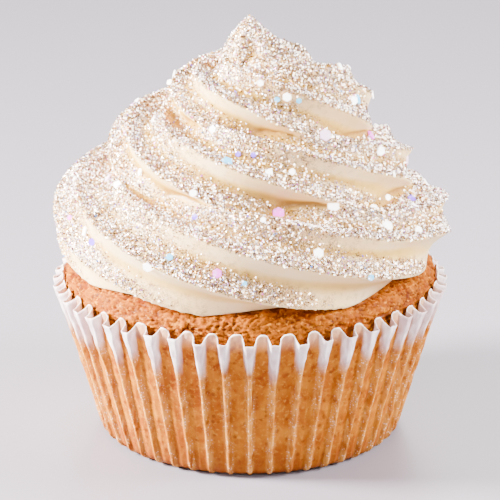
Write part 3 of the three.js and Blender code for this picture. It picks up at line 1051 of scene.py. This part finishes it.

# %% [markdown]
# ## The glitter: flakes
#
# Among the dust lie larger six-sided flakes that can be seen one by one: most are white, and a few show
# rose, pink, cyan or violet. They are in the solid too. Each sticks where a line of sight from its side first
# meets the cream, turned halfway from the slope there towards that side, so the same rule gives the same
# places. Each flake also glows a little, a painted highlight for the light it would catch.

# %% Lay the large flakes
FRONT_FLAKES = [
    (4.8, 36.9, 1.1, "pink"),
    (14.1, 38.2, 1.1, "white"),
    (23.4, 34.8, 1.0, "white"),
    (-3.9, 45.5, 1.0, "cyan"),
    (12.8, 50.3, 1.1, "rose"),
    (-5.5, 26.8, 0.85, "pink"),
    (11.5, 30.2, 0.95, "white"),
    (3.2, 43.7, 0.7, "white"),
    (7.1, 43.9, 0.6, "white"),
    (-22.7, 41.9, 0.8, "white"),
    (-17.2, 27.9, 0.9, "white"),
    (-13.5, 29.5, 0.65, "cyan"),
    (28.1, 39.6, 0.75, "violet"),
    (6.3, 56.7, 0.8, "white"),
    (1.8, 59.1, 0.6, "white"),
    (-9.6, 40.3, 0.7, "white"),
    (-6.3, 51.2, 0.7, "white"),
    (21.2, 37.9, 0.7, "white"),
    (20.4, 26.1, 0.6, "cyan"),
    (-27.0, 32.1, 0.7, "violet"),
    (22.4, 47.8, 0.9, "white"),
    (-14.0, 60.0, 0.6, "white"),
    (17.8, 56.5, 0.85, "white"),
    (4.6, 56.3, 0.5, "cyan"),
    (8.3, 56.1, 0.5, "cyan"),
    (23.8, 39.8, 0.6, "white"),
    (28.9, 34.1, 0.7, "white"),
    (2.2, 35.8, 0.5, "white"),
    (-2.0, 46.9, 0.5, "violet"),
    (0.6, 46.8, 0.5, "violet"),
    (-31.2, 36.3, 0.5, "pink"),
    (-0.9, 25.1, 0.45, "cyan"),
    (-9.3, 36.3, 0.55, "violet"),
]
OTHER_SIDES = (90, 180, 270)
FLAKES_PER_SIDE = 12
SPREAD_SIZES = (0.95, 0.55, 0.75)
SPREAD_REACH = 24
SPREAD_TAPER = 0.72
SPREAD_FOOT = 29
SPREAD_RISE = 30
GOLDEN = 0.618034
SIGHT_START = 0.2
FLAKE_EDGE = 0.94
FLAKE_THICKNESS = 0.22
FLAKE_LIFT = 0.2 * MM
# painted highlight: the flakes glow, the white ones most, as if they caught the light
FLAKE_PAINTED_GLINT = {"white": 5.0, "rose": 1.7, "pink": 1.7, "cyan": 1.7, "violet": 1.7}
FLAKE_COLOURS = {
    "white": (255, 253, 250),
    "rose": (255, 214, 250),
    "pink": (232, 84, 224),
    "cyan": (86, 196, 248),
    "violet": (128, 74, 244),
}
KINDS = list(FLAKE_COLOURS)


def flake_places():
    """Each flake as its side, its place across and up as seen from there, its radius and its kind."""
    found = [(0, *flake) for flake in FRONT_FLAKES]
    for side in OTHER_SIDES:
        for i in range(FLAKES_PER_SIDE):
            rise_there = (i + 0.5) / FLAKES_PER_SIDE
            sway_there = 2 * ((GOLDEN * (i + side)) % 1) - 1
            kind = "white" if i % 3 else KINDS[(i // 3 + side) % len(KINDS)]
            across_there = SPREAD_REACH * sway_there * (1 - SPREAD_TAPER * rise_there)
            up_there = SPREAD_FOOT + SPREAD_RISE * rise_there
            found.append((side, across_there, up_there, SPREAD_SIZES[i % 3], kind))
    return found


def lay_flakes(mesh):
    """The flakes as meshes, one for each kind, each flake a thin six-sided plate with a soft edge."""
    skin_of_cream = BVHTree.FromPolygons([v.co for v in mesh.vertices], [p.vertices for p in mesh.polygons])
    plates = {kind: bmesh.new() for kind in KINDS}
    for side, across, up, plate_radius, kind in flake_places():
        spin = Matrix.Rotation(math.radians(side), 3, "Z")
        level, drop_there = math.cos(VIEW_ELEVATION), math.sin(VIEW_ELEVATION)
        origin = Vector((
            across * MM,
            -SIGHT_START * level + up * MM * drop_there,
            SIGHT_START * drop_there + up * MM * level,
        ))
        direction = Vector((0, level, -drop_there))
        spot_met, normal, _, _ = skin_of_cream.ray_cast(spin @ origin, spin @ direction)
        if spot_met is None:
            continue
        facing = (normal - spin @ direction).normalized()
        turn_to = facing.to_track_quat("Z", "Y").to_matrix().to_4x4()
        where = Matrix.Translation(spot_met + facing * FLAKE_LIFT) @ turn_to
        bmesh.ops.create_cone(
            plates[kind],
            cap_ends=True,
            segments=6,
            radius1=plate_radius * MM,
            radius2=plate_radius * FLAKE_EDGE * MM,
            depth=FLAKE_THICKNESS * MM,
            matrix=where,
        )
    return plates


for kind, plate in lay_flakes(swirl).items():
    flake_mesh = bpy.data.meshes.new("large_flakes_" + kind)
    plate.to_mesh(flake_mesh)
    plate.free()
    base = screen_colour(*FLAKE_COLOURS[kind])
    film, tree, shader, place = new_material(
        "flake_film_" + kind, roughness=0.25, emission_strength=FLAKE_PAINTED_GLINT[kind], emission_color=base
    )
    clouded = tinted(tree, patch(1400.0, 0.5, 0.8), base, screen_colour(255, 252, 252))
    fill(tree, shader["Base Color"], clouded)
    set_piece("large_flakes_" + kind, flake_mesh, film, smooth=False)

# %% [markdown]
# ## Floor and light
#
# A plain pale floor and soft studio light show the part without telling a story. A small, strong lamp low
# on the left gives the bright left edge. Weaker ones fill the right and the front, and one behind lets the
# rim glow.

# %% Build the stage
floor_mesh = bpy.data.meshes.new("floor")
FLOOR_HALF = 3.0
corners = [(FLOOR_HALF * x, FLOOR_HALF * y, 0) for x, y in ((-1, -1), (1, -1), (1, 1), (-1, 1))]
floor_mesh.from_pydata(corners, [], [(0, 1, 2, 3)])
floor = new_object("floor", floor_mesh)
pale_floor, tree, shader, place = new_material(
    "pale_floor", roughness=0.4, base_color=screen_colour(136, 129, 138)
)
floor_mesh.materials.append(pale_floor)

LAMPS = {
    "key": ((-0.43, -0.03, 0.22), 0.13, 32.0, (1.0, 0.98, 0.95)),
    "right": ((0.42, -0.06, 0.26), 0.18, 9.5, (1.0, 0.98, 0.97)),
    "front": ((0.05, -0.50, 0.34), 0.35, 3.0, (1.0, 0.98, 0.96)),
    "back": ((0.08, 0.46, 0.36), 0.30, 4.0, (1.0, 0.98, 0.96)),
}
for name, (spot_of_lamp, size, power, lamp_colour) in LAMPS.items():
    lamp_data = bpy.data.lights.new(name, "AREA")
    lamp_data.size = size
    lamp_data.energy = power
    lamp_data.color = lamp_colour
    lamp = new_object(name, lamp_data)
    lamp.location = spot_of_lamp
    lamp.rotation_euler = (VIEW_AIM - Vector(spot_of_lamp)).to_track_quat("-Z", "Y").to_euler()

sky = bpy.data.worlds.new("soft_sky")
sky.use_nodes = True
sky.node_tree.nodes["Background"].inputs["Color"].default_value = (0.86, 0.88, 0.95, 1)
sky.node_tree.nodes["Background"].inputs["Strength"].default_value = 0.48
bpy.context.scene.world = sky
print("lamps:", sorted(LAMPS))
